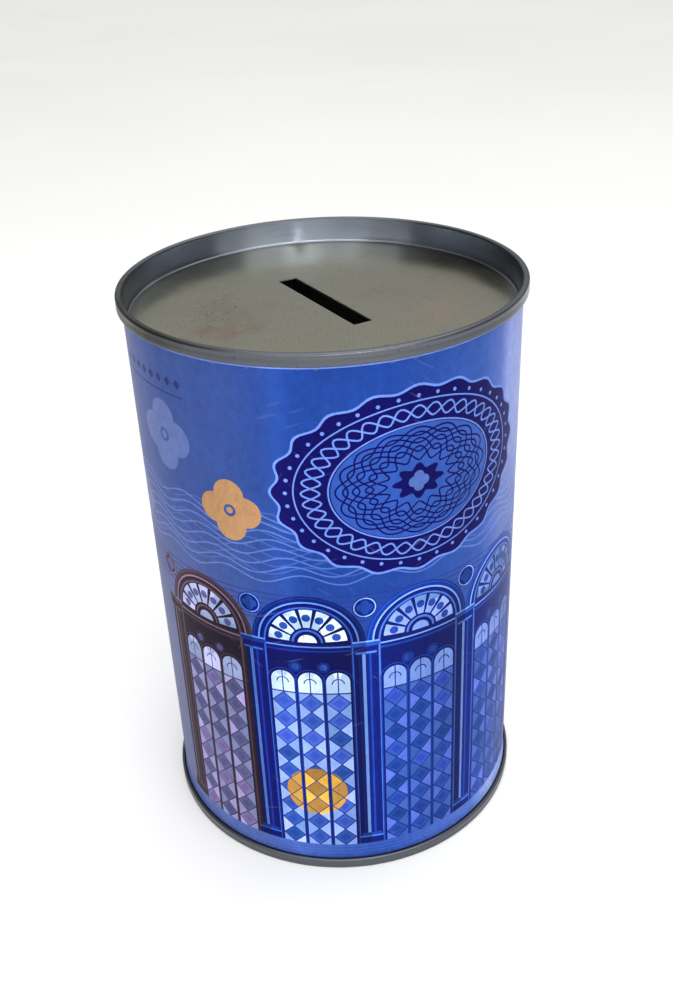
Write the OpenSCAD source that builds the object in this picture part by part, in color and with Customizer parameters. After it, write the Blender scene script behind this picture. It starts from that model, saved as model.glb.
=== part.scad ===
// Round tin money box: a three-piece can, closed for good at both ends by double seams.
// The origin is the centre of the ring that the can stands on. +Z is up, and the coin slot
// runs along Y.

/* [Can] */
// Diameter over the double seams
seam_d = 99.5; // [85:0.5:110]
// Height over both seams
can_h = 150; // [110:1:180]
// Thickness of the body's tinplate
body_t = 0.25; // [0.20:0.01:0.30]
// Thickness of the ends' tinplate
end_t = 0.28; // [0.22:0.01:0.30]

/* [Double seams] */
// Height of each double seam
seam_h = 3.1; // [2.9:0.1:3.6]
// Depth of each end's panel below the seam's top
countersink = 6.5; // [5.5:0.1:8]
// Free play between two layers of sheet inside a seam
layer_gap = 0.08; // [0.06:0.01:0.10]
// How far the body widens on its way into a seam
neck_flare = 0.25; // [0.20:0.01:0.30]
// Taper of the wall between a seam and its panel, in degrees
chuck_taper = 4; // [3.5:0.1:5]

/* [Coin slot] */
// Length of the slot
slot_l = 37.5; // [30:0.5:40]
// Width of the slot
slot_w = 4.8; // [3:0.1:6]

/* [Side seam] */
// Direction of the side seam, in degrees anticlockwise from +X, seen from above
side_seam_angle = 68.5; // [0:0.5:360]
// Width of the folded lock seam inside the body
lock_w = 3.6; // [3:0.1:5]

/* [Hidden] */
$fn = 96;

ARC_STEPS = 10;                 // segments in each quarter turn of a sheet's bend
LID_COLOUR = "#9a9a8e";
PRINT_COLOUR = "#4763b8";
SEAL_COLOUR = "#c9b98f";

// Radii of the middle of each layer in a seam, from the outside inwards.
seam_r = seam_d / 2;
seaming_wall_r = seam_r - end_t / 2;
body_hook_r = seaming_wall_r - end_t / 2 - layer_gap - body_t / 2;
cover_hook_r = body_hook_r - body_t / 2 - layer_gap - end_t / 2;
neck_r = cover_hook_r - end_t / 2 - layer_gap - body_t / 2;
chuck_top_r = neck_r - body_t / 2 - layer_gap - end_t / 2;
body_r = neck_r - neck_flare;

// Bends of the end's sheet, and heights below the seam's top.
panel_bend_r = 0.6 + end_t / 2;
top_bend_r = 0.46;
top_bend_y = -end_t / 2 - top_bend_r;
low_bend_r = (seaming_wall_r - cover_hook_r) / 2;
low_bend_y = -seam_h + end_t / 2 + low_bend_r;
cover_hook_tip = -1.15;

// Bends of the body's sheet.
body_bend_r = (body_hook_r - neck_r) / 2;
body_bend_y = -end_t - 0.1 - body_t / 2 - body_bend_r;
body_hook_tip = -seam_h + end_t + 0.37;
neck_length = 1.0;

// The folded side seam stops short of both ends.
lock_depth = 3 * body_t;
lock_end_gap = 1.2;
groove_w = 0.35;
groove_depth = 0.12;
bead_r = 0.17;

// Points on an arc about c, from angle a to angle b.
function arc(c, r, a, b, n = ARC_STEPS) =
    [for (i = [0:n]) let (t = a + (b - a) * i / n) [c[0] + r * cos(t), c[1] + r * sin(t)]];

// Unit vector square to the path at point i, half way between its two segments.
function unit(v) = v / norm(v);
function square_to(v) = [-v[1], v[0]];
function side_of(path, i) =
    let (n = len(path),
         before = i > 0 ? unit(path[i] - path[i - 1]) : unit(path[1] - path[0]),
         after = i < n - 1 ? unit(path[i + 1] - path[i]) : before,
         mid = unit(before + after))
    square_to(mid) / max(0.5, mid * after);

// Outline of a sheet of thickness t that follows a path through its middle.
function sheet(path, t) = concat(
    [for (i = [0:len(path) - 1]) path[i] + side_of(path, i) * t / 2],
    [for (i = [len(path) - 1:-1:0]) path[i] - side_of(path, i) * t / 2]);

// Radius of the middle of the chuck wall at height y below the seam's top.
function chuck_r(y) = chuck_top_r + (y + 0.74) * tan(chuck_taper);

// Path of an end's sheet, from the panel's centre to the tip of the cover hook.
function end_path() =
    let (panel_y = -countersink - end_t / 2,
         foot_y = panel_y + panel_bend_r * (1 - sin(chuck_taper)),
         foot_x = chuck_r(foot_y) - panel_bend_r * cos(chuck_taper),
         crown_y = top_bend_y + top_bend_r * sin(chuck_taper),
         crown_x = chuck_r(crown_y) + top_bend_r * cos(chuck_taper))
    concat(
        [[0, panel_y]],
        arc([foot_x, panel_y + panel_bend_r], panel_bend_r, -90, -chuck_taper),
        arc([crown_x, top_bend_y], top_bend_r, 180 - chuck_taper, 90),
        arc([seaming_wall_r - top_bend_r, top_bend_y], top_bend_r, 90, 0),
        arc([seaming_wall_r - low_bend_r, low_bend_y], low_bend_r, 0, -180, 2 * ARC_STEPS),
        [[cover_hook_r, cover_hook_tip]]);

// Path of one edge of the body's sheet, from the straight wall to the tip of the body hook.
function hook_path() = concat(
    [[body_r, -seam_h - neck_length], [neck_r, -seam_h]],
    arc([neck_r + body_bend_r, body_bend_y], body_bend_r, 180, 0, 2 * ARC_STEPS),
    [[body_hook_r, body_hook_tip]]);

// Path of the whole body wall, from one hook to the other.
function body_path() =
    let (upper = [for (p = hook_path()) [p[0], can_h + p[1]]],
         lower = [for (p = hook_path()) [p[0], -p[1]]])
    concat([for (i = [len(lower) - 1:-1:0]) lower[i]], upper);

// Turns children made for the top of the can over to the bottom.
module at_bottom() { mirror([0, 0, 1]) children(); }
module at_top() { translate([0, 0, can_h]) children(); }

module end_disc() { rotate_extrude() polygon(sheet(end_path(), end_t)); }

// Slice of a ring from r to r + depth, width wide, pointing along +X.
module ring_slice(r, depth, width, height) {
    intersection() {
        difference() {
            cylinder(r = r + depth, h = height);
            translate([0, 0, -1]) cylinder(r = r, h = height + 2);
        }
        translate([0, -width / 2, 0]) cube([r + depth + 1, width, height]);
    }
}

// Rolled and printed wall: a hook at each edge, joined along its side by a lock seam.
module can_body() {
    inner_r = body_r - body_t / 2;
    outer_r = body_r + body_t / 2;
    lock_z = countersink + end_t + lock_end_gap;
    groove_z = seam_h + neck_length;
    color(PRINT_COLOUR) difference() {
        union() {
            rotate_extrude() polygon(sheet(body_path(), body_t));
            rotate(side_seam_angle) translate([0, 0, lock_z])
                ring_slice(inner_r - lock_depth, lock_depth + body_t / 2, lock_w, can_h - 2 * lock_z);
        }
        rotate(side_seam_angle) translate([0, 0, groove_z])
            ring_slice(outer_r - groove_depth, 1, groove_w, can_h - 2 * groove_z);
    }
}

// Upper end, with the coin slot punched through its panel.
module top_end() {
    color(LID_COLOUR) difference() {
        at_top() end_disc();
        translate([-slot_w / 2, -slot_l / 2, can_h - countersink - 3]) cube([slot_w, slot_l, 6]);
    }
}

module bottom_end() { color(LID_COLOUR) at_bottom() end_disc(); }

// Bead of sealing compound in the free space between the cover hook and the body's bend.
module seal_bead() {
    color(SEAL_COLOUR) rotate_extrude()
        translate([cover_hook_r, body_bend_y]) circle(r = bead_r, $fn = 32);
}
module top_seal() { at_top() seal_bead(); }
module bottom_seal() { at_bottom() seal_bead(); }

can_body();
top_end();
bottom_end();
top_seal();
bottom_seal();
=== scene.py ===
"""Looks of the tin money box: a printed can wall, two seamed ends and the sealing compound inside the seams.

Lengths are in millimetres until the meshes are made, and in metres in Blender.
u is the distance round the can, in mm, rightwards from the middle of the printed front; z is the height.
"""

import math

import bpy
import numpy as np
from mathutils import Matrix, Vector
from mathutils.geometry import delaunay_2d_cdt


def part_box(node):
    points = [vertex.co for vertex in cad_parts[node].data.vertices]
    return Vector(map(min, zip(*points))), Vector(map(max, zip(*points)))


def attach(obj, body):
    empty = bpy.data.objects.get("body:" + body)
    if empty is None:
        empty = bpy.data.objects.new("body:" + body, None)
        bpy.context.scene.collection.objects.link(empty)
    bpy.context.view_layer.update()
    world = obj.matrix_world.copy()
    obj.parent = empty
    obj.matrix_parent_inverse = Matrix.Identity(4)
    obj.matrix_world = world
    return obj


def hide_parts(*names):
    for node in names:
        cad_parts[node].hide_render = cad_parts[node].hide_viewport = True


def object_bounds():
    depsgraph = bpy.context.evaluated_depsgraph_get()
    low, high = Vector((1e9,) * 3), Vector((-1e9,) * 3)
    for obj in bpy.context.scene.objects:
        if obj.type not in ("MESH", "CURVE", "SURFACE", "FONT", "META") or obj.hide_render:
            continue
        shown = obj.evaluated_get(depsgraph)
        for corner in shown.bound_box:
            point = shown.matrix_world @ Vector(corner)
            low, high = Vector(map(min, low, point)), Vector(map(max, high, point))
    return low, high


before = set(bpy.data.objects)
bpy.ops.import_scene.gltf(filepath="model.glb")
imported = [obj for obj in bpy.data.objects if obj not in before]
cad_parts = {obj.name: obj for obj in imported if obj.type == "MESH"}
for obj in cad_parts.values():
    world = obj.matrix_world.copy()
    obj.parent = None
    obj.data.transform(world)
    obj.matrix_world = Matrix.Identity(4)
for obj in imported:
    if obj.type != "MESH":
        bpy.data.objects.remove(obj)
cad_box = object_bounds()

MM = 0.001

# -------- the can's sections, as the CAD has them
CAN_H = round(cad_box[1][2] / MM, 1)
SEAM_R = round(2 * cad_box[1][0] / MM, 1) / 2
SEAM_H = 3.1
BODY_T = 0.25
END_T = 0.28
GAP = 0.08
FLARE = 0.25
COUNTERSINK = round(CAN_H - END_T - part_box("top_end")[0][2] / MM, 1)
TAPER = math.radians(4)
SLOT_L = 37.5
SLOT_W = 4.8

SEAMING_WALL_R = SEAM_R - END_T / 2
BODY_HOOK_R = SEAMING_WALL_R - END_T / 2 - GAP - BODY_T / 2
COVER_HOOK_R = BODY_HOOK_R - BODY_T / 2 - GAP - END_T / 2
NECK_R = COVER_HOOK_R - END_T / 2 - GAP - BODY_T / 2
CHUCK_TOP_R = NECK_R - BODY_T / 2 - GAP - END_T / 2
BODY_R = NECK_R - FLARE
OUTER_R = BODY_R + BODY_T / 2
INNER_R = BODY_R - BODY_T / 2

FRONT_ANGLE = math.radians(-118.8)     # direction of the middle of the printed front
SIDE_SEAM_ANGLE = math.radians(68.5)
AROUND = 2 * math.pi * OUTER_R         # length of the printed sheet
SHEET_LO = (SIDE_SEAM_ANGLE - FRONT_ANGLE - 2 * math.pi) * OUTER_R
SHEET_HI = SHEET_LO + AROUND
PRINT_LO = SEAM_H
PRINT_HI = CAN_H - SEAM_H


def place_at(azimuth, distance, height):
    """A place by its azimuth from the middle of the printed front, in degrees anticlockwise."""
    t = FRONT_ANGLE + math.radians(azimuth)
    return (distance * math.cos(t), distance * math.sin(t), height)


def arc(c, r, a, b, n=24):
    """Points on an arc about c from angle a to b, in degrees."""
    t = np.radians(np.linspace(a, b, n + 1))
    return np.column_stack([c[0] + r * np.cos(t), c[1] + r * np.sin(t)])


def round_loop(c, r, n=28):
    """Closed circle about c."""
    return arc(c, r, 0, 360, n)[:-1]


def chain(*parts):
    """Joins stretches of points end to end and drops repeats."""
    pts = np.vstack([np.atleast_2d(np.array(p, float)) for p in parts])
    keep = [0] + [i for i in range(1, len(pts)) if np.hypot(*(pts[i] - pts[i - 1])) > 1e-4]
    return pts[keep]


def offset(pts, d, closed=False):
    """Moves a line of points sideways by d, to its left, with mitred corners."""
    p = np.array(pts, float)
    nxt = np.roll(p, -1, 0) - p
    if not closed:
        nxt[-1] = nxt[-2]
    nxt /= np.hypot(nxt[:, 0], nxt[:, 1])[:, None]
    prv = np.roll(nxt, 1, 0)
    if not closed:
        prv[0] = nxt[0]
    mid = nxt + prv
    mid /= np.hypot(mid[:, 0], mid[:, 1])[:, None]
    stretch = 1 / np.maximum(0.5, (mid * nxt).sum(1))
    return p + d * stretch[:, None] * np.column_stack([-mid[:, 1], mid[:, 0]])


def stroke(pts, w):
    """Outline of a line of width w along open points."""
    return np.vstack([offset(pts, w / 2), offset(pts, -w / 2)[::-1]])


def band(loop, w):
    """The two loops of a line of width w round a closed loop."""
    return offset(loop, w / 2, True), offset(loop, -w / 2, True)


def rect(u0, z0, u1, z1):
    """Rectangle between two opposite corners."""
    return np.array([(u0, z0), (u1, z0), (u1, z1), (u0, z1)], float)


def quatrefoil(c, r):
    """Four round petals in one outline."""
    lobe = 0.5 * r
    return chain(*[arc((c[0] + lobe * math.cos(math.radians(t)), c[1] + lobe * math.sin(math.radians(t))),
                       lobe, t - 90, t + 90, 10) for t in (0, 90, 180, 270)])[:-1]


def lobed(c, a, b, lobes, depth, phase=0.0, n=120):
    """Closed line round an oval of half-axes a and b, waved in and out by depth, a share of its radius."""
    t = np.linspace(0, 2 * math.pi, n + 1)[:-1]
    k = 1 + depth * np.cos(lobes * t + phase)
    return np.column_stack([c[0] + a * k * np.cos(t), c[1] + b * k * np.sin(t)])


def arch_line(c, r, spring, foot, n=26):
    """Open line up one side of a round-headed opening, over it and down the other side."""
    return chain([(c - r, foot)], arc((c, spring), r, 180, 0, n), [(c + r, foot)])


# -------- the artwork, back to front
# A plain design of arches, an oval ornament, fine waves and four-petalled flowers.
BASE_Z = 7.7            # top of the strip that the arches stand on
BAY_W = 28.0            # one arch of the arcade
ARCADE_U = -49.7        # where the arcade starts
SPRING_Z = 75.0         # where the arches' round heads start
LIGHT_HEAD_Z = 63.5     # where the round heads of the leaded lights start
SILL_Z = LIGHT_HEAD_Z - 3.8
WAVE_Z = 101.5          # middle of the band of waves
LIGHT_PITCH = 6.9       # from one leaded light of an arch to the next
LATTICE_ROWS = 9
OVALS = ((20.0, 116.5), (112.0, 116.5), (-108.0, 116.5))
BARE_W = 2.6            # unprinted margin on each side of the side seam
COIN = ((-7.7, 27.0), 8.0)
MOULDINGS = [           # ink, radius and width of each line round an arch
    ("edge", 13.8, 0.4), ("hood_dark", 12.9, 0.9), ("glow", 12.2, 0.45), ("deep", 11.7, 0.6),
    ("stone", 11.2, 0.6), ("sheen", 10.75, 0.35),
]
# Layers of a column's capital and foot: from and to above the spring line or the base, half width, ink.
CAPITAL = ((-3.4, -2.8, 2.6, "sheen"), (-2.8, -1.2, 2.9, "stone"), (-1.2, 0.0, 3.3, "hood"),
           (0.0, 0.4, 3.3, "glow"))
FOOT = ((0, 2.2, 3.2, "stone"), (2.2, 2.7, 3.2, "sheen"), (2.7, 3.8, 2.6, "shade"))
art = []                # (ink, loops): even-odd filled, later ones over earlier ones


def paint(ink, *loops):
    """Adds a shape. Without an ink it only cuts the sheet, so that an ink can change along it."""
    art.append((ink, [np.array(loop, float) for loop in loops]))


def painter(tone):
    """paint() in one of the arcade's four tones."""
    return lambda name, *loops: paint((name, tone), *loops)


def lattice(draw, mid, half, z0, z1):
    """Diamond-leaded glass between two mullions."""
    pitch = (z1 - z0) / LATTICE_ROWS
    draw("glass", rect(mid - half, z0, mid + half, z1))
    for i in range(LATTICE_ROWS):
        c = z0 + (i + 0.5) * pitch
        pane = np.array([(mid, c - pitch / 2), (mid + half, c), (mid, c + pitch / 2), (mid - half, c)])
        draw("diamond", pane)
        draw("lead", *band(pane, 0.26))
        draw("inset", offset(pane, 1.0, True))


def fanlight(draw, c, spring, r, count=7):
    """Panes between spokes, about a half-round hub."""
    step = 180 / count
    for i in range(count):
        lo, hi = i * step + 3.0, (i + 1) * step - 3.0
        draw("white", np.vstack([arc((c, spring), r, lo, hi, 6), arc((c, spring), 0.46 * r, hi, lo, 4)]))
        mid = math.radians((lo + hi) / 2)
        eye = round_loop((c + 0.75 * r * math.cos(mid), spring + 0.75 * r * math.sin(mid)), 0.115 * r, 10)
        draw("pane", eye)
    draw("sheen", arc((c, spring), 0.40 * r, 0, 180, 16))
    draw("deep", arc((c, spring), 0.34 * r, 0, 180, 16))
    draw("white", arc((c, spring), 0.24 * r, 0, 180, 12))


def bay(c, tone):
    """One arch: hood, mouldings, fanlight, transom and three leaded lights."""
    draw = painter(tone)
    draw("hood", arch_line(c, 14.0, SPRING_Z, BASE_Z))
    for ink, r, width in MOULDINGS:
        draw(ink, stroke(arch_line(c, r, SPRING_Z, BASE_Z), width))
    draw("deep", arch_line(c, 10.4, SPRING_Z, BASE_Z))
    fanlight(draw, c, SPRING_Z + 0.6, 9.6)
    draw("stone", rect(c - 10.4, SPRING_Z - 2.6, c + 10.4, SPRING_Z))
    draw("glow", rect(c - 10.4, SPRING_Z - 1.0, c + 10.4, SPRING_Z - 0.6))
    draw("shade", rect(c - 10.4, SPRING_Z - 2.3, c + 10.4, SPRING_Z - 1.8))
    for k in (-1, 0, 1):
        mid, half = c + LIGHT_PITCH * k, 2.95
        draw("shade", stroke(arch_line(mid, half + 0.75, LIGHT_HEAD_Z, BASE_Z, 16), 0.3))
        draw("white", arch_line(mid, half, LIGHT_HEAD_Z, SILL_Z, 16))
        draw("lead", stroke([(mid, SILL_Z), (mid, LIGHT_HEAD_Z + half)], 0.3))
        draw("lead", stroke(arc((mid, LIGHT_HEAD_Z - 0.6), 1.5, 180, 0, 10), 0.3))
        draw("lead", rect(mid - half, SILL_Z, mid + half, SILL_Z + 0.4))
        lattice(draw, mid, half, BASE_Z, SILL_Z)
    for s in (-1, 1):
        eye = (c + 0.5 * LIGHT_PITCH * s, LIGHT_HEAD_Z + 4.6)
        draw("pane", round_loop(eye, 1.05, 14))
        draw("shade", *band(round_loop(eye, 1.45, 14), 0.25))


def pier(e, tone):
    """Column between two arches, with its capital, foot and the roundel over it."""
    draw = painter(tone)
    draw("stone", rect(e - 2.0, BASE_Z, e + 2.0, SPRING_Z))
    draw("shade", rect(e + 0.7, BASE_Z, e + 1.2, SPRING_Z))
    draw("glow", rect(e - 1.0, BASE_Z, e - 0.2, SPRING_Z))
    for low, high, half, ink in CAPITAL:
        draw(ink, rect(e - half, SPRING_Z + low, e + half, SPRING_Z + high))
    for low, high, half, ink in FOOT:
        draw(ink, rect(e - half, BASE_Z + low, e + half, BASE_Z + high))
    eye = (e, SPRING_Z + 10.2)
    draw("stone", round_loop(eye, 3.0, 24))
    draw("glow", *band(round_loop(eye, 2.6, 24), 0.3))
    draw("pane", quatrefoil(eye, 2.0))


def oval_ornament(c, a=33.0, b=22.5):
    """Dark oval frame with a braid in it, round a rosette of fine waved lines."""
    paint("halo", lobed(c, a + 0.6, b + 0.6, 20, 0.025, n=160))
    paint("navy", lobed(c, a, b, 20, 0.025, n=160))
    for bead in lobed(c, 0.925 * a, 0.925 * b, 1, 0, n=40):
        paint("halo", round_loop(bead, 0.5, 6))
    for k in (0.87, 0.635):
        paint("halo", *band(lobed(c, a * k, b * k, 1, 0, n=96), 0.35))
    for phase in (0.0, math.pi):
        paint("halo", *band(lobed(c, a * 0.755, b * 0.755, 20, 0.085, phase, n=240), 0.42))
    paint("field", lobed(c, a * 0.62, b * 0.62, 1, 0, n=96))
    for k, depth in ((0.545, 0.08), (0.48, 0.12), (0.40, 0.18), (0.31, 0.24)):
        for phase in (0.0, math.pi):
            paint("navy", *band(lobed(c, a * k, b * k, 8, depth, phase, n=144), 0.42))
    paint("navy", lobed(c, a * 0.17, b * 0.17, 8, 0.18))
    paint("flower", quatrefoil(c, 2.6))


def waves(ink, width, lean, count=8, pitch=2.3, height=1.3, turns=16):
    """Fine waves round the whole can; lean shifts each line along the one below it."""
    u = np.linspace(SHEET_LO, SHEET_HI, 12 * turns + 1)
    for k in range(count):
        z = WAVE_Z + (k - (count - 1) / 2) * pitch
        z = z + height * np.sin(2 * math.pi * turns * (u - SHEET_LO) / AROUND + lean * k)
        paint(ink, stroke(np.column_stack([u, z]), width))


def flower(ink, c, r):
    paint(ink, quatrefoil(c, r))
    paint("ground", round_loop(c, 0.20 * r, 16))
    paint(ink, round_loop(c, 0.11 * r, 12))


# Ground, waves and lines.
paint("ground", rect(SHEET_LO, PRINT_LO, SHEET_HI, PRINT_HI))
waves("dim", width=0.32, lean=-0.55)
waves("rule", width=0.40, lean=0.55)
for i in range(6):
    paint("hair", rect(SHEET_LO, 88.6 - 1.5 * i, SHEET_HI, 89.0 - 1.5 * i))

# Flowers, and a row of lozenges over a rule in place of fine print.
for ink, centre, r in (("flower", (-43.5, 124), 9.0), ("gold", (-24.5, 110.0), 8.0),
                       ("flower", (66, 124), 9.0), ("flower", (-62.5, 100), 6.5), ("flower", (66, 100), 6.0)):
    flower(ink, centre, r)
for i in range(8):
    u = -59.5 + 3.3 * i
    paint("mark", [(u - 1.1, 138.4), (u, 137.2), (u + 1.1, 138.4), (u, 139.6)])
paint("mark", rect(-61.5, 135.2, -35.0, 135.55))

# A pale rosette on the plain side of the can.
for k in range(9):
    r = 33 - 3.4 * k
    paint("ghost", *band(lobed((-98, 46), r, r, 12, 0.05 + 0.012 * k, k * 0.5, 144), 0.5))

# The arcade, with a coin behind the glass of its second arch.
paint(None, round_loop(COIN[0], COIN[1], 40))
BAY_TONES = (0, 1, 2, 2, 3, 3, 3)          # brown, navy, blue, violet
for k, tone in enumerate(BAY_TONES):
    bay(ARCADE_U + BAY_W * (k + 0.5), tone)
for k, tone in enumerate(BAY_TONES + (3,)):
    pier(ARCADE_U + BAY_W * k, tone)

# The strip underneath, and a pale line along the top that is a painted highlight where the wall flares into
# the seam.
paint("base", rect(SHEET_LO, PRINT_LO + 0.1, SHEET_HI, BASE_Z))
for i in range(3):
    paint("rule", rect(SHEET_LO, 6.9 - 1.2 * i, SHEET_HI, 7.05 - 1.2 * i))
paint("margin", rect(SHEET_LO, PRINT_HI - 0.7, SHEET_HI, PRINT_HI - 0.1))
for centre in OVALS:
    oval_ornament(centre)
paint("bare", rect(SHEET_LO, PRINT_LO, SHEET_LO + BARE_W, PRINT_HI))
paint("bare", rect(SHEET_HI - BARE_W, PRINT_LO, SHEET_HI, PRINT_HI))


# -------- inks, by where they lie on the sheet
def inside(loop, u, z):
    """Which of the points lie inside a closed loop, by the even-odd rule."""
    hit = np.zeros(len(u), bool)
    a, b = loop, np.roll(loop, -1, 0)
    for (u0, z0), (u1, z1) in zip(a, b):
        if z0 == z1:
            continue
        crosses = (z0 > z) != (z1 > z)
        hit ^= crosses & (u < (u1 - u0) * (z - z0) / (z1 - z0) + u0)
    return hit


def ramp(x, stops):
    """Colours between (position, colour) stops."""
    pos = [p for p, _ in stops]
    return np.column_stack([np.interp(x, pos, [c[k] for _, c in stops]) for k in range(3)])


PALETTE = {             # in brown, navy, blue and violet
    "hood": ((78, 58, 70), (12, 44, 126), (30, 70, 162), (92, 102, 172)),
    "edge": ((60, 44, 60), (6, 22, 84), (14, 40, 120), (62, 72, 146)),
    "hood_dark": ((58, 38, 46), (5, 22, 90), (12, 44, 132), (76, 86, 158)),
    "stone": ((46, 28, 36), (4, 12, 92), (6, 24, 102), (60, 68, 146)),
    "shade": ((66, 48, 68), (14, 42, 128), (20, 56, 146), (84, 94, 166)),
    "deep": ((30, 20, 38), (3, 8, 76), (5, 20, 94), (50, 58, 138)),
    "glow": ((120, 106, 138), (80, 126, 216), (116, 154, 234), (168, 178, 226)),
    "sheen": ((88, 68, 86), (44, 88, 182), (68, 110, 198), (136, 148, 210)),
    "pane": ((84, 84, 140), (30, 68, 154), (24, 58, 144), (112, 124, 192)),
    "inset": ((92, 88, 140), (36, 70, 156), (26, 60, 148), (110, 122, 190)),
    "white": ((164, 174, 218), (190, 210, 248), (116, 144, 216), (196, 204, 236)),
    "lead": ((64, 56, 92), (12, 34, 118), (8, 28, 108), (84, 92, 160)),
    "glass": ((138, 140, 188), (132, 160, 228), (66, 98, 184), (166, 176, 222)),
    "diamond": ((106, 98, 144), (48, 80, 168), (36, 70, 158), (122, 134, 198)),
}
GLAZED = ("glass", "diamond", "inset", "white", "pane")


def scatter(a, b):
    """A repeatable number from 0 to 1 for each pair of whole numbers."""
    return np.modf(np.abs(np.sin(a * 12.9898 + b * 78.233)) * 43758.5453)[0]


def pane_light(cu, cz, name):
    """How bright each pane is, from 0 to 1: every diamond and every gap between two has its own value."""
    x = (cu - ARCADE_U) % BAY_W - BAY_W / 2
    light = np.round(x / LIGHT_PITCH)
    number = np.floor((cu - ARCADE_U) / BAY_W) * 3 + light
    row = (cz - BASE_Z) * LATTICE_ROWS / (SILL_Z - BASE_Z)
    if name == "glass":
        return scatter(number * 2 + (x > light * LIGHT_PITCH), np.floor(row + 0.5) + 40)
    return scatter(number, np.floor(row))


def toned(name, tone):
    """A colour of the arcade, lit from the upper left inside each arch, paler towards the right."""
    def ink(u, z, cu, cz):
        colour = np.tile(np.array(PALETTE[name][tone], float), (len(cu), 1))
        if tone == 2:
            colour += np.clip((u - 36) / 30, 0, 1)[:, None] * (np.array((116, 130, 196)) - colour) * 0.6
        x = (cu - ARCADE_U) % BAY_W - BAY_W / 2
        light = 0.24 * np.clip((np.maximum(cz - SPRING_Z, 0) - x) / 20, -1, 1)
        if name in GLAZED:
            value = pane_light(cu, cz, name) - 0.5
            light = 0.35 * light + 0.34 * value
            colour += value[:, None] * ((18, -3, -7) if tone < 3 else (9, -2, -4))
            lit = np.hypot(cu - COIN[0][0], cz - COIN[0][1]) < COIN[1]
            colour[lit] = (206, 160, 62) if name == "glass" else (178, 132, 62)
        return colour * (1 + light)[:, None]
    return ink


GROUND_STOPS = [
    (-100, (140, 146, 192)), (-72, (120, 128, 178)), (-58, (88, 102, 156)), (-42, (63, 85, 150)),
    (-22, (54, 79, 148)), (-8, (27, 63, 143)), (14, (27, 63, 145)), (38, (55, 89, 170)), (46, (88, 112, 190)),
    (50, (141, 155, 218)), (62, (149, 162, 218)), (110, (146, 156, 208)), (158, (140, 146, 192)),
]
BASE_STOPS = [
    (-145, (130, 140, 196)), (-60, (96, 110, 172)), (-30, (78, 100, 170)), (10, (42, 78, 168)),
    (38, (84, 114, 198)), (48, (160, 180, 236)), (158, (130, 140, 196)),
]


def ink_ground(u, z, cu, cz):
    """Lavender at both sides, deeper blue in the middle; greyer low on the left, bluer low on the right."""
    colour = ramp(u, GROUND_STOPS)
    for amount, tint in ((np.clip((108 - z) / 45, 0, 1) * np.clip((-20 - u) / 20, 0, 1), (118, 121, 158)),
                         (np.clip((112 - z) / 14, 0, 1) * np.clip((u - 42) / 8, 0, 1), (100, 120, 186))):
        colour += amount[:, None] * (np.array(tint) - colour) * 0.8
    return colour


def tinted(rgb, share):
    """An ink that covers only a share of the ground under it."""
    def ink(u, z, cu, cz):
        ground = ink_ground(u, z, cu, cz)
        return ground + share * (np.array(rgb, float) - ground)
    return ink


def flat(*rgb):
    return lambda u, z, cu, cz: np.tile(np.array(rgb, float), (len(u), 1))


def along(stops):
    return lambda u, z, cu, cz: ramp(u, stops)


INKS = {
    "ground": ink_ground, "base": along(BASE_STOPS), "bare": flat(150, 152, 150),
    "rule": tinted((160, 182, 244), 0.36), "dim": tinted((116, 142, 220), 0.34),
    "hair": tinted((40, 44, 124), 0.5), "field": tinted((60, 96, 186), 0.5),
    "flower": tinted((170, 182, 226), 0.32), "ghost": tinted((176, 184, 226), 0.55),
    "gold": flat(182, 138, 98), "mark": flat(40, 52, 112), "halo": flat(104, 136, 222),
    # margin: a painted highlight along the wall's flare under the top seam.
    "navy": flat(4, 2, 84), "margin": flat(118, 146, 222),
}
INKS.update({(name, tone): toned(name, tone) for name in PALETTE for tone in range(4)})


def to_linear(rgb):
    c = np.clip(np.array(rgb, float) / 255, 0, 1)
    return np.where(c <= 0.04045, c / 12.92, ((c + 0.055) / 1.055) ** 2.4)


# -------- the printed sheet, cut along the artwork
COLUMNS = 144
ROWS = 24
SEAM_STEPS = (0.25, 0.5, 0.8, 1.2, 1.55, 1.8, 2.05)     # extra columns, by distance from the side seam
COLUMN_U = np.array(sorted([SHEET_LO + AROUND * i / COLUMNS for i in range(COLUMNS + 1)]
                           + [SHEET_LO + d for d in SEAM_STEPS] + [SHEET_HI - d for d in SEAM_STEPS]))


def triangulate(lines, loops, epsilon):
    """Points and triangles of a flat shape whose edges follow every open line and every closed loop."""
    verts, edges = [], []
    for pts, closed in [(line, False) for line in lines] + [(loop, True) for loop in loops]:
        start, count = len(verts), len(pts)
        verts.extend(Vector((float(a), float(b))) for a, b in pts)
        edges.extend((start + i, start + (i + 1) % count) for i in range(count if closed else count - 1))
    points, _, faces, _, _, _ = delaunay_2d_cdt(verts, edges, [], 0, epsilon)
    return np.array([tuple(p) for p in points]), np.array([f for f in faces if len(f) == 3])


def cut_sheet():
    """Triangles of the flat sheet whose edges follow every printed shape: points, triangles, ink numbers."""
    grid = [[(u, PRINT_LO), (u, PRINT_HI)] for u in COLUMN_U]
    for z in PRINT_LO + (PRINT_HI - PRINT_LO) * np.arange(ROWS + 1) / ROWS:
        grid.append([(SHEET_LO, z), (SHEET_HI, z)])
    points, tris = triangulate(grid, [loop for _, loops in art for loop in loops], 1e-5)
    middle = points[tris].mean(1)
    label = np.zeros(len(tris), int)
    for number, (ink, loops) in enumerate(art):
        if ink is None:
            continue
        both = np.vstack(loops)
        lo, hi = both.min(0), both.max(0)
        near = np.where(((middle > lo) & (middle < hi)).all(1))[0]
        hit = np.zeros(len(near), bool)
        for loop in loops:
            hit ^= inside(loop, middle[near, 0], middle[near, 1])
        label[near[hit]] = number
    return points, tris, label, middle


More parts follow.
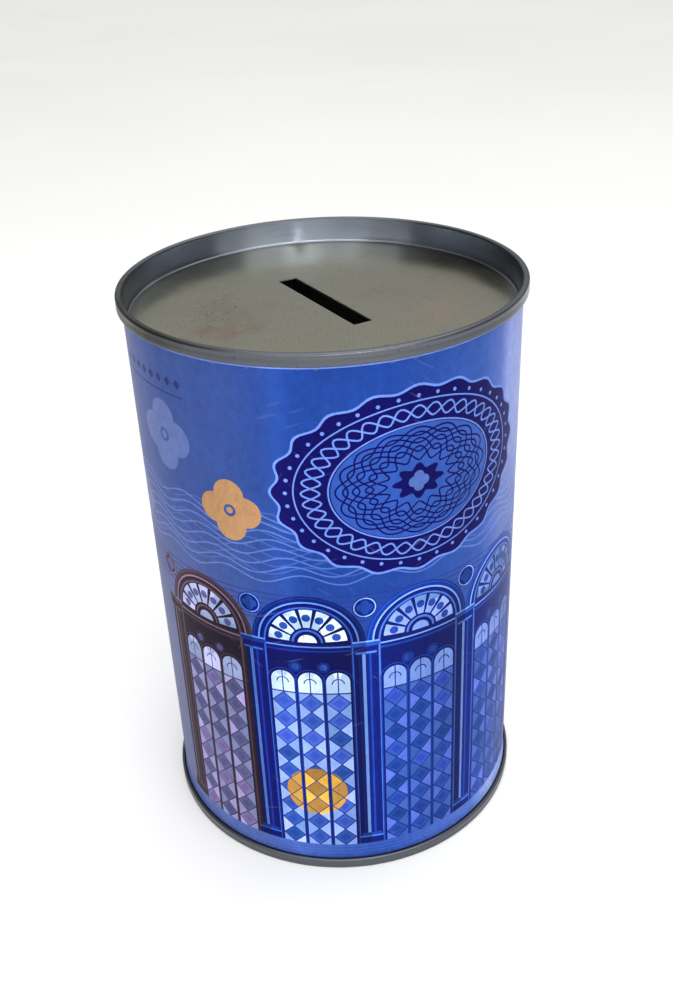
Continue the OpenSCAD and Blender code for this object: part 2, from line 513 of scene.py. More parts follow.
def corner_colours(points, tris, label, middle):
    out = np.zeros((len(tris), 3, 3))
    for number in np.unique(label):
        rows = np.where(label == number)[0]
        ink = INKS[art[number][0]]
        cu, cz = middle[rows, 0], middle[rows, 1]
        for k in range(3):
            p = points[tris[rows, k]]
            out[rows, k] = to_linear(ink(p[:, 0], p[:, 1], cu, cz))
    return out


# -------- sheet metal sections
def sheet_sides(path, t):
    """The two surfaces of a sheet that follows a path: the one to its left, and the one to its right."""
    return offset(path, t / 2), offset(path, -t / 2)


# The shallow hollow that the seaming roll leaves: depth, and height from the seam's top.
SEAMING_GROOVE = ((0.05, -0.95), (0.09, -1.25), (0.06, -1.6), (0.01, -2.0))


def end_path(inner_r, steps=7):
    """Middle of an end's sheet from inner_r outwards, with y measured from the seam's top."""
    panel_y = -COUNTERSINK - END_T / 2
    bend = 0.6 + END_T / 2
    top_r, tip_y = 0.46, -1.15
    top_y = -END_T / 2 - top_r
    low_r = (SEAMING_WALL_R - COVER_HOOK_R) / 2
    low_y = -SEAM_H + END_T / 2 + low_r

    def chuck(y):
        return CHUCK_TOP_R + (y + 0.74) * math.tan(TAPER)

    tilt = math.degrees(TAPER)
    foot_x = chuck(panel_y + bend * (1 - math.sin(TAPER))) - bend * math.cos(TAPER)
    crown_x = chuck(top_y + top_r * math.sin(TAPER)) + top_r * math.cos(TAPER)
    flat_part = [(inner_r, panel_y), (foot_x - 8, panel_y), (foot_x - 3, panel_y)]
    return chain(flat_part,
                 arc((foot_x, panel_y + bend), bend, -90, -tilt, steps),
                 arc((crown_x, top_y), top_r, 180 - tilt, 90, steps),
                 arc((SEAMING_WALL_R - top_r, top_y), top_r, 90, 0, steps),
                 [(SEAMING_WALL_R - d, y) for d, y in SEAMING_GROOVE],
                 arc((SEAMING_WALL_R - low_r, low_y), low_r, 0, -180, 2 * steps),
                 [(COVER_HOOK_R, tip_y)])


def hook_path(steps=6):
    """Middle of the body's sheet from below the seam to the tip of its hook."""
    r = (BODY_HOOK_R - NECK_R) / 2
    y = -END_T - 0.1 - BODY_T / 2 - r
    return chain([(BODY_R, -SEAM_H - 1.0), (NECK_R, -SEAM_H)], arc((NECK_R + r, y), r, 180, 0, 2 * steps),
                 [(BODY_HOOK_R, -SEAM_H + END_T + 0.37)])


def revolve(profile, turns):
    """Quads of an open profile of (radius, z) turned round Z, through the given angles and closed up."""
    n, count = len(profile), len(turns)
    verts = [(r * math.cos(t), r * math.sin(t), z) for t in turns for r, z in profile]
    faces = []
    for i in range(count):
        j = (i + 1) % count
        for k in range(n - 1):
            faces.append((i * n + k + 1, j * n + k + 1, j * n + k, i * n + k))
    return np.array(verts), faces


def welded(verts, faces):
    """Joins vertices that lie in one place: unique vertices, the faces on them, and which faces are kept."""
    _, first, where = np.unique(np.round(verts, 4), axis=0, return_index=True, return_inverse=True)
    where = where.ravel()
    faces = [tuple(int(where[i]) for i in f) for f in faces]
    kept = [i for i, f in enumerate(faces) if len(set(f)) == len(f)]
    return verts[first], [faces[i] for i in kept], kept


def make_object(name, verts, faces, materials, slots, flat_faces=()):
    mesh = bpy.data.meshes.new(name)
    mesh.from_pydata([tuple(v) for v in np.array(verts) * MM], [], faces)
    for m in materials:
        mesh.materials.append(m)
    mesh.polygons.foreach_set("material_index", np.array(slots, np.int32))
    smooth = np.ones(len(mesh.polygons), bool)
    smooth[list(flat_faces)] = False
    mesh.polygons.foreach_set("use_smooth", smooth)
    mesh.update()
    obj = bpy.data.objects.new(name, mesh)
    bpy.context.scene.collection.objects.link(obj)
    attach(obj, "root")
    return obj


# -------- node materials
class Nodes:
    """Small helper that adds linked shader nodes to one material, or to the world."""

    def __init__(self, owner, shader="Principled BSDF"):
        owner.use_nodes = True
        self.owner = owner
        self.tree = owner.node_tree
        self.shader = self.tree.nodes[shader]

    def add(self, kind, values=(), **props):
        node = self.tree.nodes.new(kind)
        for key, value in props.items():
            setattr(node, key, value)
        for key, value in dict(values).items():
            self.feed(node.inputs[key], value)
        return node

    def feed(self, socket, value):
        if isinstance(value, bpy.types.NodeSocket):
            self.tree.links.new(value, socket)
        else:
            socket.default_value = value

    def math(self, op, a, b=0.0, c=0.0):
        return self.add("ShaderNodeMath", {0: a, 1: b, 2: c}, operation=op).outputs[0]

    def times(self, a, b):
        return self.math("MULTIPLY", a, b)

    def place(self):
        return self.add("ShaderNodeTexCoord").outputs["Object"]

    def scaled(self, vector, scale):
        return self.add("ShaderNodeMapping", {"Vector": vector, "Scale": scale}).outputs[0]

    def combed(self, vector, angle, length):
        """Stretches a pattern length times along a level direction."""
        values = {"Vector": vector, "Scale": (length, 1, 1), "Rotation": (0, 0, angle)}
        return self.add("ShaderNodeMapping", values, vector_type="TEXTURE").outputs[0]

    def hairs(self, vector, angle):
        """Turns a pattern on the can's wall by angle and draws it out into hairlines."""
        turn = self.add("ShaderNodeMapping", {"Vector": vector, "Rotation": (0, angle, 0)})
        return self.scaled(turn.outputs[0], (0.09, 1, 1))

    def noise(self, vector, scale, detail=2.0, rough=0.5):
        return self.add("ShaderNodeTexNoise", {"Vector": vector, "Scale": scale, "Detail": detail,
                                               "Roughness": rough}).outputs["Fac"]

    def span(self, value, lo, hi, to_lo=0.0, to_hi=1.0, smooth=False):
        values = {"Value": value, "From Min": lo, "From Max": hi, "To Min": to_lo, "To Max": to_hi}
        return self.add("ShaderNodeMapRange", values,
                        interpolation_type="SMOOTHSTEP" if smooth else "LINEAR").outputs[0]

    def mix(self, factor, a, b, blend="MIX"):
        node = self.add("ShaderNodeMix", {0: factor, 6: a, 7: b}, data_type="RGBA", blend_type=blend)
        return node.outputs[2]

    def bump(self, height, distance, strength=1.0, normal=None):
        values = {"Height": height, "Distance": distance, "Strength": strength}
        if normal is not None:
            values["Normal"] = normal
        return self.add("ShaderNodeBump", values).outputs[0]

    def warped(self, vector, scale, distance):
        """Pushes places about by up to distance, so that round stains turn out ragged."""
        values = {"Vector": vector, "Scale": scale, "Detail": 4.0, "Roughness": 0.6}
        wobble = self.add("ShaderNodeTexNoise", values)
        centred = self.add("ShaderNodeVectorMath", {0: wobble.outputs["Color"], 1: (0.5, 0.5, 0.5)},
                           operation="SUBTRACT")
        reach = (2 * distance, 2 * distance, 0)
        moved = self.add("ShaderNodeVectorMath", {0: centred.outputs[0], 1: reach, 2: vector},
                         operation="MULTIPLY_ADD")
        return moved.outputs[0]

    def near(self, vector, point, radius, edge):
        """1 within radius of a point in mm, fading to 0 over edge."""
        d = self.add("ShaderNodeVectorMath", {0: vector, 1: [c * MM for c in point]}, operation="DISTANCE")
        return self.span(d.outputs["Value"], radius * MM, (radius + edge) * MM, 1.0, 0.0, smooth=True)

    def cylinder(self, vector):
        """Turns a place into (distance round, radius, height), so a pattern can follow the can's wall."""
        part = self.add("ShaderNodeSeparateXYZ", {0: vector})
        x, y, z = part.outputs
        r = self.math("SQRT", self.math("ADD", self.times(x, x), self.times(y, y)))
        angle = self.math("ARCTAN2", y, x)
        round_ = self.times(angle, OUTER_R * MM)
        joined = self.add("ShaderNodeCombineXYZ", {0: round_, 1: r, 2: z})
        return joined.outputs[0], r, z


def shade(nodes, **values):
    for key, value in values.items():
        nodes.feed(nodes.shader.inputs[key.replace("_", " ")], value)
    return nodes.owner


def stretch_highlights(nodes, amount):
    """Draws highlights out up and down the can, as rolled sheet does."""
    tangent = nodes.add("ShaderNodeTangent", direction_type="RADIAL", axis="Z").outputs[0]
    shade(nodes, Anisotropic=amount, Anisotropic_Rotation=0.25, Tangent=tangent)


def new_material(name):
    return Nodes(bpy.data.materials.new(name))


def grey(v):
    return (v, v, v, 1)


def printed_material():
    """Printed and varnished tinplate: mottled ink, a few hairline scuffs, bare specks along both edges."""
    n = new_material("printed_lacquer")
    p = n.place()
    around, _, z = n.cylinder(p)
    colour = n.add("ShaderNodeVertexColor", layer_name="print").outputs["Color"]
    mottle = n.noise(n.scaled(around, (1, 1, 0.7)), 520, 4, 0.62)
    cloud = n.noise(n.scaled(around, (1, 1, 0.6)), 75, 3, 0.5)
    screen = n.noise(around, 2600, 1, 0.5)
    for value, low, high in ((mottle, 0.87, 1.13), (cloud, 0.93, 1.07), (screen, 0.92, 1.07)):
        tone = n.span(value, 0.3, 0.7, low, high)
        even = n.add("ShaderNodeCombineXYZ", {0: tone, 1: tone, 2: tone}).outputs[0]
        colour = n.mix(1.0, colour, even, "MULTIPLY")
    scuffs = 0.0
    for angle, scale in ((0.35, 1000), (-0.6, 1150), (1.25, 1300)):
        fine = n.noise(n.hairs(around, angle), scale, 1, 0.4)
        patch = n.span(n.noise(around, scale / 20, 2, 0.5), 0.50, 0.62)
        scuffs = n.math("MAXIMUM", scuffs, n.times(n.span(fine, 0.71, 0.76), patch))
    colour = n.mix(n.times(scuffs, 0.07), colour, (0.46, 0.52, 0.74, 1))
    edge = n.math("MINIMUM", n.math("SUBTRACT", z, PRINT_LO * MM), n.math("SUBTRACT", PRINT_HI * MM, z))
    flakes = n.noise(around, 620, 4, 0.65)
    chipped = n.times(n.span(edge, 0.0002, 0.0016, 1.0, 0.0), n.span(flakes, 0.60, 0.64))
    colour = n.mix(n.times(chipped, 0.75), colour, (0.20, 0.21, 0.23, 1))
    dents = n.bump(n.noise(n.scaled(around, (1, 1, 0.35)), 22, 1, 0.4), 0.0011, 0.5)
    peel = n.bump(n.noise(p, 900, 2, 0.5), 0.00003, 0.5, dents)
    rough = n.math("ADD", n.span(mottle, 0.3, 0.7, 0.45, 0.51), n.times(scuffs, 0.1))
    stretch_highlights(n, 0.95)
    return shade(n, Base_Color=colour, Metallic=0.35, Roughness=rough, Specular_IOR_Level=0.05,
                 Coat_Weight=0.07, Coat_Roughness=0.09, Normal=peel)


SPECK_SCALE = 1000      # a stain of a finer pattern than this is a scatter of specks
PANEL_Z = CAN_H - COUNTERSINK


def painted_crease_shade(n, p, radius, z):
    """Painted shade in the crease between an end's panel and its chuck wall, apart from one stretch left
    unshaded.
    """
    level = n.math("MINIMUM", z, n.math("SUBTRACT", CAN_H * MM, z))
    above = n.math("ABSOLUTE", n.math("SUBTRACT", level, COUNTERSINK * MM))
    amount = n.times(n.span(above, 0.0004, 0.0016, 0.5, 0.0), n.span(radius, 0.0450, 0.0468))
    patchy = n.span(n.noise(p, 45, 3, 0.55), 0.34, 0.56, 0.35, 1.0)
    unshaded_stretch = n.span(n.near(p, place_at(187, 47.3, PANEL_Z), 14, 10), 0.0, 1.0, 1.0, 0.0)
    return n.times(n.times(amount, patchy), unshaded_stretch)


def tinplate_material(name, base, rough, blotches=(), around_can=True, dents=0.00002, crease=False):
    """Lacquered tinplate: rolling grain, cloudy lacquer, stain marks and patches of painted shade, painted
    shade in the crease, specks and shallow dents.
    """
    n = new_material(name)
    p = n.place()
    round_place, radius, z = n.cylinder(p)
    if around_can:
        grain = n.noise(n.scaled(round_place, (0.03, 1, 1)), 2400, 2, 0.6)
    else:
        grain = n.noise(n.combed(p, FRONT_ANGLE, 9), 2600, 2, 0.6)
    sand = n.noise(p, 3400, 1, 0.5)
    cloud = n.noise(p, 70, 4, 0.6)

    def shaded(k):
        return [min(1, c * k) for c in base] + [1]

    colour = n.mix(n.span(grain, 0.3, 0.7), shaded(0.90), shaded(1.09))
    colour = n.mix(n.span(cloud, 0.35, 0.65, 0.0, 0.20), colour, shaded(0.74))
    colour = n.mix(n.span(sand, 0.42, 0.72, 0.0, 0.16), colour, shaded(1.5))
    roughness = n.span(cloud, 0.3, 0.7, rough * 0.85, rough * 1.2)
    spread = n.warped(p, 110, 0.011)
    for azimuth, distance, height, size, tint, amount, scale in blotches:
        low, high = (0.585, 0.66) if scale > SPECK_SCALE else (0.36, 0.66)
        near = n.near(spread, place_at(azimuth, distance, height), size * 0.2, size * 0.8)
        blot = n.times(near, n.span(n.noise(p, scale, 3, 0.55), low, high, 0.0, amount))
        colour = n.mix(blot, colour, tint)
        roughness = n.math("ADD", roughness, n.times(blot, 0.12))
    # Painted shade darkens the crease at the foot of the chuck wall.
    if crease:
        colour = n.mix(painted_crease_shade(n, p, radius, z), colour, (0.035, 0.036, 0.036, 1))
    specks = n.span(n.noise(p, 1000, 1, 0.4), 0.755, 0.775, 0.0, 0.7)
    colour = n.mix(specks, colour, (0.05, 0.035, 0.025, 1))
    waves = n.bump(n.noise(n.scaled(round_place, (0.3, 1, 1)), 240, 1, 0.4), dents, 0.8,
                   n.bump(n.noise(p, 30, 1, 0.4), 0.0005, 0.3))
    bump = n.bump(grain, 0.000010, 0.4, waves)
    if around_can:
        stretch_highlights(n, 0.6)
    return shade(n, Base_Color=colour, Metallic=1.0, Roughness=roughness, Normal=bump)


def compound_material():
    n = new_material("sealing_compound")
    p = n.place()
    cloud = n.noise(p, 420, 4, 0.6)
    colour = n.mix(n.span(cloud, 0.3, 0.7), (0.46, 0.40, 0.27, 1), (0.60, 0.53, 0.38, 1))
    return shade(n, Base_Color=colour, Roughness=n.span(cloud, 0.3, 0.7, 0.55, 0.75),
                 Normal=n.bump(cloud, 0.00004, 0.6))


# The dark grey colour marks soot on the panel and paints shade on the seam's rim.
PINK, SMOKE_AND_SHADE, DUST = (0.235, 0.150, 0.118, 1), (0.05, 0.045, 0.035, 1), (0.31, 0.235, 0.19, 1)

# Each stain or patch of painted shade: azimuth, distance from the axis and height, its size, colour and
# strength, its pattern's scale.
PANEL_STAINS = [
    (-52, 29, PANEL_Z, 11, PINK, 0.85, 210),
    (-48, 34, PANEL_Z, 8, PINK, 0.6, 170),
    (-75, 24, PANEL_Z, 11, PINK, 0.35, 260),
    (-88, 25, PANEL_Z, 14, SMOKE_AND_SHADE, 0.75, 1300),
    (-66, 30, PANEL_Z, 12, SMOKE_AND_SHADE, 0.7, 1100),
    (-80, 24, PANEL_Z, 12, SMOKE_AND_SHADE, 0.16, 150),
    (66, 29, PANEL_Z, 21, DUST, 0.85, 150),
    (42, 32, PANEL_Z, 13, DUST, 0.55, 190),
    (56, 37, PANEL_Z, 10, SMOKE_AND_SHADE, 0.35, 1400),
    (104, 15, PANEL_Z, 10, SMOKE_AND_SHADE, 0.14, 170),
]
SEAM_STAINS_AND_SHADE = [
    (50, 49.2, CAN_H, 1.3, (0.16, 0.05, 0.03, 1), 1.0, 900),
    (56.5, 49.7, CAN_H - 0.7, 0.9, (0.02, 0.018, 0.016, 1), 1.0, 300),
    # These three broad dark patches paint shade on the rim's left and right.
    (-52, 49.3, CAN_H, 26, SMOKE_AND_SHADE, 0.95, 45),
    (-82, 49.3, CAN_H, 24, SMOKE_AND_SHADE, 0.9, 60),
    (95, 49.3, CAN_H, 16, SMOKE_AND_SHADE, 0.5, 110),
    (170, 49.5, CAN_H - 1, 2.5, SMOKE_AND_SHADE, 0.5, 700),
]
printed = printed_material()
# One sheet in three tints: the panel's warm tint and the chuck wall's blue tint are painted reflections of a
# warm ceiling and of blue window light, and the seam's darker base is painted shade.
panel_metal = tinplate_material("tinplate_panel", (0.262, 0.256, 0.190), 0.22, PANEL_STAINS, around_can=False,
                                crease=True)
chuck_metal = tinplate_material("tinplate_chuck_wall", (0.27, 0.30, 0.35), 0.22, dents=0.00005, crease=True)
seam_metal = tinplate_material("tinplate_seam", (0.112, 0.120, 0.137), 0.30, SEAM_STAINS_AND_SHADE)
bare_metal = tinplate_material("tinplate_bare", (0.34, 0.35, 0.36), 0.3)
inner_metal = tinplate_material("tinplate_inside", (0.24, 0.24, 0.225), 0.34)
compound = compound_material()


# -------- can body
LOCK_HALF_W = 1.8       # of the side seam's folded ridge


def from_seam(verts):
    """Distance of each vertex from the side seam's middle, round the can."""
    away = np.arctan2(verts[:, 1], verts[:, 0]) - SIDE_SEAM_ANGLE
    return ((away + math.pi) % (2 * math.pi) - math.pi) * np.hypot(verts[:, 0], verts[:, 1])


def outer_sheet():
    """The printed side: vertices, triangles, their colours and their slots."""
    points, tris, label, middle = cut_sheet()
    colours = corner_colours(points, tris, label, middle)
    a, b, c = (points[tris[:, k]] for k in range(3))
    flip = (b[:, 0] - a[:, 0]) * (c[:, 1] - a[:, 1]) < (b[:, 1] - a[:, 1]) * (c[:, 0] - a[:, 0])
    tris[flip] = tris[flip][:, ::-1]
    colours[flip] = colours[flip][:, ::-1]
    u, z = points[:, 0], points[:, 1]
    edge = np.maximum(0, 1 - np.minimum(z - PRINT_LO, PRINT_HI - z))
    angle = FRONT_ANGLE + u / OUTER_R
    radius = OUTER_R + FLARE * edge
    verts = np.column_stack([radius * np.cos(angle), radius * np.sin(angle), z])
    bare = np.isin(label, [i for i, (ink, _) in enumerate(art) if ink == "bare"])
    return verts, tris.tolist(), colours, np.where(bare, 2, 0)


def fold_side_seam(verts):
    """Presses the lock seam into the wall: a fine groove outside, a flat ridge inside."""
    away = from_seam(verts)
    r = np.hypot(verts[:, 0], verts[:, 1])
    middle_part = np.clip((np.minimum(verts[:, 2], CAN_H - verts[:, 2]) - SEAM_H) / 2, 0, 1)
    ridge = np.clip((LOCK_HALF_W + 0.25 - np.abs(away)) / 0.3, 0, 1) * middle_part
    groove = 0.10 * np.exp(-(away / 0.3) ** 2) * middle_part
    change = np.where(r > BODY_R, -groove - 0.03 * ridge, -0.5 * ridge)
    verts[:, :2] *= (1 + change / r)[:, None]


def shade_as_cylinder(mesh, verts):
    """Gives the printed wall a true cylinder's normals, except at the side seam."""
    r = np.hypot(verts[:, 0], verts[:, 1])
    wall = (r > OUTER_R - 0.01) & (np.abs(from_seam(verts)) > LOCK_HALF_W + 0.4)
    wall &= (verts[:, 2] > PRINT_LO - 0.01) & (verts[:, 2] < PRINT_HI + 0.01)
    normals = np.zeros(3 * len(verts))
    mesh.vertex_normals.foreach_get("vector", normals)
    normals = normals.reshape(-1, 3)
    normals[wall] = verts[wall] / r[wall, None]
    normals[wall, 2] = 0
    mesh.normals_split_custom_set_from_vertices([tuple(v) for v in normals])


def build_body():
    """The printed sheet outside, closed behind by the inner wall and the hooks in both seams."""
    outer, tris, colours, outer_slots = outer_sheet()
    hook = hook_path()
    path = chain([(r, -y) for r, y in hook[::-1]], [(r, CAN_H + y) for r, y in hook])
    inner_side, outer_side = sheet_sides(path, BODY_T)
    low = outer_side[outer_side[:, 1] < PRINT_LO - 0.05]
    high = outer_side[outer_side[:, 1] > PRINT_HI + 0.05]
    neck = OUTER_R + FLARE
    rows = int(CAN_H / 8)
    straight = [(INNER_R, 12 + (CAN_H - 24) * i / rows) for i in range(rows + 1)]
    inner_low = inner_side[inner_side[:, 1] < 10]
    inner_high = inner_side[inner_side[:, 1] > CAN_H - 10]
    hidden = chain([(neck, PRINT_LO)], low[::-1], inner_low, straight, inner_high, high[::-1],
                   [(neck, PRINT_HI)])
    ring, ring_faces = revolve(hidden, FRONT_ANGLE + COLUMN_U[:-1] / OUTER_R)
    verts = np.vstack([outer, ring])
    faces = tris + [tuple(i + len(outer) for i in f) for f in ring_faces]
    slots = np.concatenate([outer_slots, np.ones(len(ring_faces), int)])
    verts, faces, kept = welded(verts, faces)
    slots = slots[kept]
    printed_faces = [i for i in kept if i < len(tris)]
    rgba = np.full((3 * len(printed_faces) + 4 * (len(kept) - len(printed_faces)), 4), 1.0)
    rgba[:, :3] = 0.4
    rgba[:3 * len(printed_faces), :3] = colours[printed_faces].reshape(-1, 3)
    fold_side_seam(verts)
    body = make_object("can_wall", verts, faces, [printed, inner_metal, bare_metal], slots)
    attribute = body.data.color_attributes.new("print", "FLOAT_COLOR", "CORNER")
    attribute.data.foreach_set("color", rgba.ravel())
    shade_as_cylinder(body.data, verts)
    return body


can_wall = build_body()
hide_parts("can_body")


# -------- the two ends
PANEL_R = 30.0          # the panel inside this radius is flat triangles, the rest is turned round the axis
END_COLUMNS = 360
END_TURNS = FRONT_ANGLE + SHEET_LO / OUTER_R + 2 * math.pi * np.arange(END_COLUMNS) / END_COLUMNS
PANEL_SLOT, CHUCK_SLOT, SEAM_SLOT = range(3)
SLOT_ROUNDING = 0.12    # of the slot's upper edge


def slot_loop(grow):
    """Outline of the coin slot, moved out by grow: small corner radii, and long sides a little ragged."""
    a, b, r = SLOT_W / 2 + grow, SLOT_L / 2 + grow, 0.35 + max(0, grow)
    y = np.linspace(SLOT_L / 2 - 0.8, 0.8 - SLOT_L / 2, 61)

    def side(x, seed):
        nick = 0.22 * np.maximum(0, scatter(np.arange(len(y)), seed) - 0.55)
        return np.column_stack([x - math.copysign(1, x) * nick, y if x < 0 else -y])

    return chain(arc((a - r, b - r), r, 0, 90, 4), arc((r - a, b - r), r, 90, 180, 4), side(-a, 3),
                 arc((r - a, r - b), r, 180, 270, 4), arc((a - r, r - b), r, 270, 360, 4), side(a, 8))


def flat_panel(height, grow, up, slotted):
    """Triangles of the panel's middle, out to PANEL_R, with or without the slot."""
    loops = []
    for r, count in ((PANEL_R, END_COLUMNS), (27, 120), (23.5, 90), (20, 60)):
        t = END_TURNS[0] + 2 * math.pi * np.arange(count) / count
        loops.append(np.column_stack([r * np.cos(t), r * np.sin(t)]))
    if slotted:
        hole = slot_loop(grow)
        loops.append(hole)
    points, faces = triangulate([], loops, 1e-6)
    if slotted:
        middle = points[faces].mean(1)
        faces = faces[~inside(hole, middle[:, 0], middle[:, 1])]
    if not up:
        faces = faces[:, ::-1]
    return np.column_stack([points, np.full(len(points), height)]), faces.tolist()


def turned_part(path, outline):
    """The end outside its flat middle: vertices, faces and their slots."""
    verts, faces = revolve(outline, END_TURNS)
    wall_start = np.argmax(path[:, 0] > CHUCK_TOP_R - 1.6)
    wall_end = np.argmax(path[:, 1] > -0.6)
    rings = [k if k < len(path) else 2 * len(path) - 2 - k for k in range(len(outline) - 1)]
    slots = [PANEL_SLOT if k < wall_start else CHUCK_SLOT if k < wall_end else SEAM_SLOT for k in rings]
    return verts, faces, slots * END_COLUMNS


def slot_edge(high, low):
    """Sheared edge of the coin slot, rounded where the punch went in: vertices, faces and their slots."""
    rings = [(SLOT_ROUNDING, high), (0.06, high - 0.02), (0.02, high - 0.06), (0.0, high - SLOT_ROUNDING),
             (0.0, low)]
    loops = [np.column_stack([slot_loop(g), np.full(len(slot_loop(0)), h)]) for g, h in rings]
    n = len(loops[0])
    faces = [(i * n + k, (i + 1) * n + k, (i + 1) * n + (k + 1) % n, i * n + (k + 1) % n)
             for i in range(len(loops) - 1) for k in range(n)]
    return np.vstack(loops), faces, [SEAM_SLOT] * len(faces)


def scale_across(verts, factor):
    """Moves vertices towards the can's axis or away from it."""
    verts[:, 0] *= factor
    verts[:, 1] *= factor


def add_lap_bumps(verts):
    """Where an end crosses the side seam: a bump in the crease, and a droop of the seam's hem."""
    r = np.hypot(verts[:, 0], verts[:, 1])
    lap = np.exp(-(from_seam(verts) / 1.5) ** 2)
    foot = lap * np.exp(-((r - 47.6) / 1.0) ** 2 - ((verts[:, 2] + COUNTERSINK - 0.3) / 0.7) ** 2)
    scale_across(verts, 1 - foot * 0.22 / np.maximum(r, 1))
    verts[:, 2] += foot * 0.15
    hem = lap * (r > 48.9) * np.clip(-verts[:, 2] / SEAM_H, 0, 1) * (verts[:, 2] > -SEAM_H - 0.5)
    scale_across(verts, 1 + hem * 0.14 / np.maximum(r, 1))
    verts[:, 2] -= hem * 0.22


def build_end(name, top):
    """An end, made with its seam's top at height 0, then moved to the can's top or turned over."""
    path = end_path(PANEL_R)
    upper, lower = sheet_sides(path, END_T)
    high, low = upper[0][1], lower[0][1]
    parts = [turned_part(path, np.vstack([upper, lower[::-1]]))]
    for height, grow, up in ((high, SLOT_ROUNDING, True), (low, 0.0, False)):
        v, f = flat_panel(height, grow, up, top)
        parts.append((v, f, [PANEL_SLOT] * len(f)))
    if top:
        parts.append(slot_edge(high, low))
    verts, faces, slots, flat = [], [], [], []
    for number, (v, f, s) in enumerate(parts):
        base = len(verts)
        verts.extend(v.tolist())
        faces.extend(tuple(i + base for i in q) for q in f)
        slots.extend(s)
        flat.extend([number in (1, 2)] * len(f))
    verts, faces, kept = welded(np.array(verts), faces)
    slots = [slots[i] for i in kept]
    flat_faces = [i for i, k in enumerate(kept) if flat[k]]
    add_lap_bumps(verts)
    if top:
        verts[:, 2] += CAN_H
    else:
        verts[:, 2] *= -1
        faces = [f[::-1] for f in faces]
    return make_object(name, verts, faces, [panel_metal, chuck_metal, seam_metal], slots, flat_faces)


top_piece = build_end("seamed_top", True)
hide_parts("top_end")
bottom_piece = build_end("seamed_bottom", False)
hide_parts("bottom_end")
for node in ("top_seal", "bottom_seal"):
    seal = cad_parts[node]
    seal.data.materials.clear()
    seal.data.materials.append(compound)


# -------- stage, light, camera
FLOOR_HALF = 5.0
BACKDROP_R = 4.8
BACKDROP_LOW, BACKDROP_HIGH = -0.1, 5.5


def stage_piece(name, verts, faces, material):
    mesh = bpy.data.meshes.new(name)
    mesh.from_pydata(verts, [], faces)
    mesh.materials.append(material)
    piece = bpy.data.objects.new(name, mesh)
    bpy.context.scene.collection.objects.link(piece)
    return piece


def build_stage():
    n = new_material("pale_floor")
    cloud = n.noise(n.place(), 3, 3, 0.5)
    shade(n, Base_Color=n.mix(n.span(cloud, 0.3, 0.7), grey(0.86), grey(0.90)), Roughness=0.8,
          Emission_Color=grey(1), Emission_Strength=0.1)
    s = FLOOR_HALF
    stage_piece("floor", [(-s, -s, 0), (s, -s, 0), (s, s, 0), (-s, s, 0)], [(0, 1, 2, 3)], n.owner)

    # A pale backdrop beyond the floor, which the camera sees and which neither lights nor shows in the metal.
    n = new_material("pale_backdrop")
    shade(n, Base_Color=grey(0), Specular_IOR_Level=0.0, Emission_Color=(0.78, 0.78, 0.775, 1),
          Emission_Strength=1.0)
    corners = round_loop((0, 0), BACKDROP_R, 48)
    verts = [(x, y, z) for z in (BACKDROP_LOW, BACKDROP_HIGH) for x, y in corners]
    sides = len(corners)
    faces = [(i, (i + 1) % sides, sides + (i + 1) % sides, sides + i) for i in range(sides)]
    backdrop = stage_piece("backdrop", verts, faces, n.owner)
    for ray in ("diffuse", "glossy", "transmission", "shadow", "volume_scatter"):
        setattr(backdrop, "visible_" + ray, False)


def soft_light(name, azimuth, distance, height, size, power):
    """A rectangular light that faces the middle of the can, and that the camera doesn't see."""
    data = bpy.data.lights.new(name, "AREA")
    data.shape = "RECTANGLE"
    data.size, data.size_y = size
    data.energy = power
    light = bpy.data.objects.new(name, data)
    light.location = place_at(azimuth, distance, height)
    middle = Vector((0, 0, CAN_H / 2 * MM))
    light.rotation_euler = (middle - light.location).to_track_quat("-Z", "Y").to_euler()
    light.visible_camera = False
    bpy.context.scene.collection.objects.link(light)
    return light


# Rows of lights in front of the can: azimuth and power of each.
FRONT_HIGH = ((-42, 0.30), (-15, 0.49), (12, 0.96), (39, 0.52))
FRONT_LOW = ((-46, 0.15), (-20, 0.21), (6, 0.25), (32, 0.26), (56, 0.16))


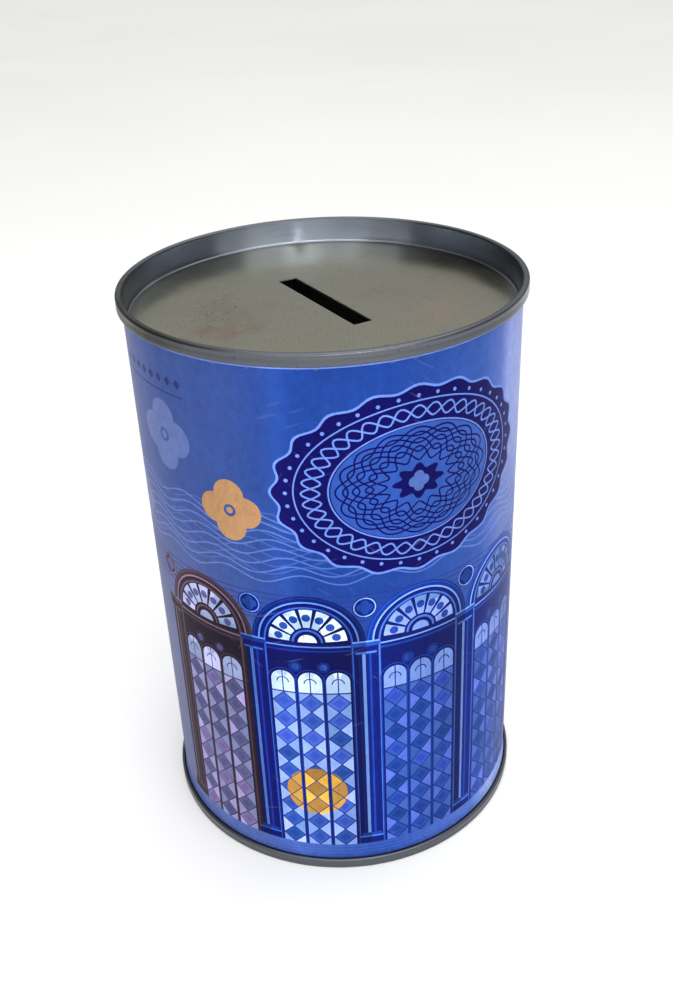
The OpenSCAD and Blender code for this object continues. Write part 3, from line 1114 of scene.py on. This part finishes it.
def build_world():
    """Sky that darkens downwards, is dimmer at the sides and dimmest on the left, and glows low in front."""
    world = bpy.data.worlds.new("studio")
    bpy.context.scene.world = world
    n = Nodes(world, "Background")
    direction = n.add("ShaderNodeTexCoord").outputs["Generated"]

    height, front, right = (
        n.add("ShaderNodeVectorMath", {0: direction, 1: axis}, operation="DOT_PRODUCT").outputs["Value"]
        for axis in ((0, 0, 1), place_at(0, 1, 0), place_at(90, 1, 0)))
    sky = n.mix(n.span(height, 0.05, 0.85), (0.26, 0.28, 0.32, 1), (1.0, 0.99, 0.96, 1))
    near_floor = n.span(height, 0.24, 0.38, 0.8, 0.0, smooth=True)
    left = n.math("MAXIMUM", n.span(right, -0.92, -0.3, 0.10, 1.0, smooth=True), near_floor)
    sides = n.times(n.span(n.math("ABSOLUTE", front), 0.0, 0.8, 0.45, 1.0, smooth=True), left)
    overhead = n.span(height, 0.35, 0.8, smooth=True)
    glow = n.times(n.span(front, 0.75, 0.97, 0.0, 0.3, smooth=True), n.span(height, 0.05, 0.4, 1.0, 0.0))
    behind_left = n.math("MAXIMUM", n.span(right, -0.55, -0.22, 0.38, 1.0, smooth=True),
                         n.span(front, 0.0, 0.35, smooth=True))
    behind_left = n.math("MAXIMUM", behind_left, near_floor)
    behind_low = n.math("MAXIMUM", n.span(height, 0.300, 0.345, 0.70, 1.02, smooth=True),
                        n.span(front, -0.5, -0.1, smooth=True))
    behind = n.times(behind_left, behind_low)
    dimmed = n.math("ADD", n.times(n.math("MAXIMUM", sides, overhead), behind), glow)
    shade(n, Color=sky, Strength=n.times(dimmed, 1.2))


def build_lights():
    """Soft lights, and a narrow one for the streak down the printed wall, which lights the wall alone."""
    soft_light("overhead", 150, 0.25, 0.95, (0.8, 0.8), 2.4)
    for azimuth, power in FRONT_HIGH:
        soft_light("front_high", azimuth, 0.60, 0.50, (0.28, 0.24), power)
    for azimuth, power in FRONT_LOW:
        soft_light("front_low", azimuth, 0.70, 0.255, (0.31, 0.07), power)
    strip = soft_light("strip", -26, 0.36, 0.0925, (0.02, 0.105), 0.22)
    lit_by_strip = bpy.data.collections.new("lit_by_strip")
    lit_by_strip.objects.link(can_wall)
    strip.light_linking.receiver_collection = lit_by_strip


FITTED_R = 50.0         # seam radius of the can that the camera was fitted to


def build_camera():
    """Camera at the photograph's angle, fitted to the can's outlines, and turned with the printed front."""
    pitch, yaw, roll = math.radians(30.18), math.radians(0.23), math.radians(-2.65)
    axes = (Matrix.Rotation(-yaw, 4, "Z") @ Matrix.Rotation(math.pi / 2 - pitch, 4, "X")
            @ Matrix.Rotation(roll, 4, "Z"))
    data = bpy.data.cameras.new("camera")
    data.sensor_width = 36
    data.lens = 39.72
    data.clip_start = 0.01
    camera = bpy.data.objects.new("camera", data)
    scale = SEAM_R / FITTED_R
    turn = Matrix.Rotation(FRONT_ANGLE + math.pi / 2, 4, "Z")
    camera.matrix_world = turn @ Matrix.Translation((0, -0.25955 * scale, 0.23805 * scale)) @ axes
    bpy.context.scene.collection.objects.link(camera)
    bpy.context.scene.camera = camera


build_stage()
build_world()
build_lights()
build_camera()
bpy.context.scene.view_settings.view_transform = "Standard"
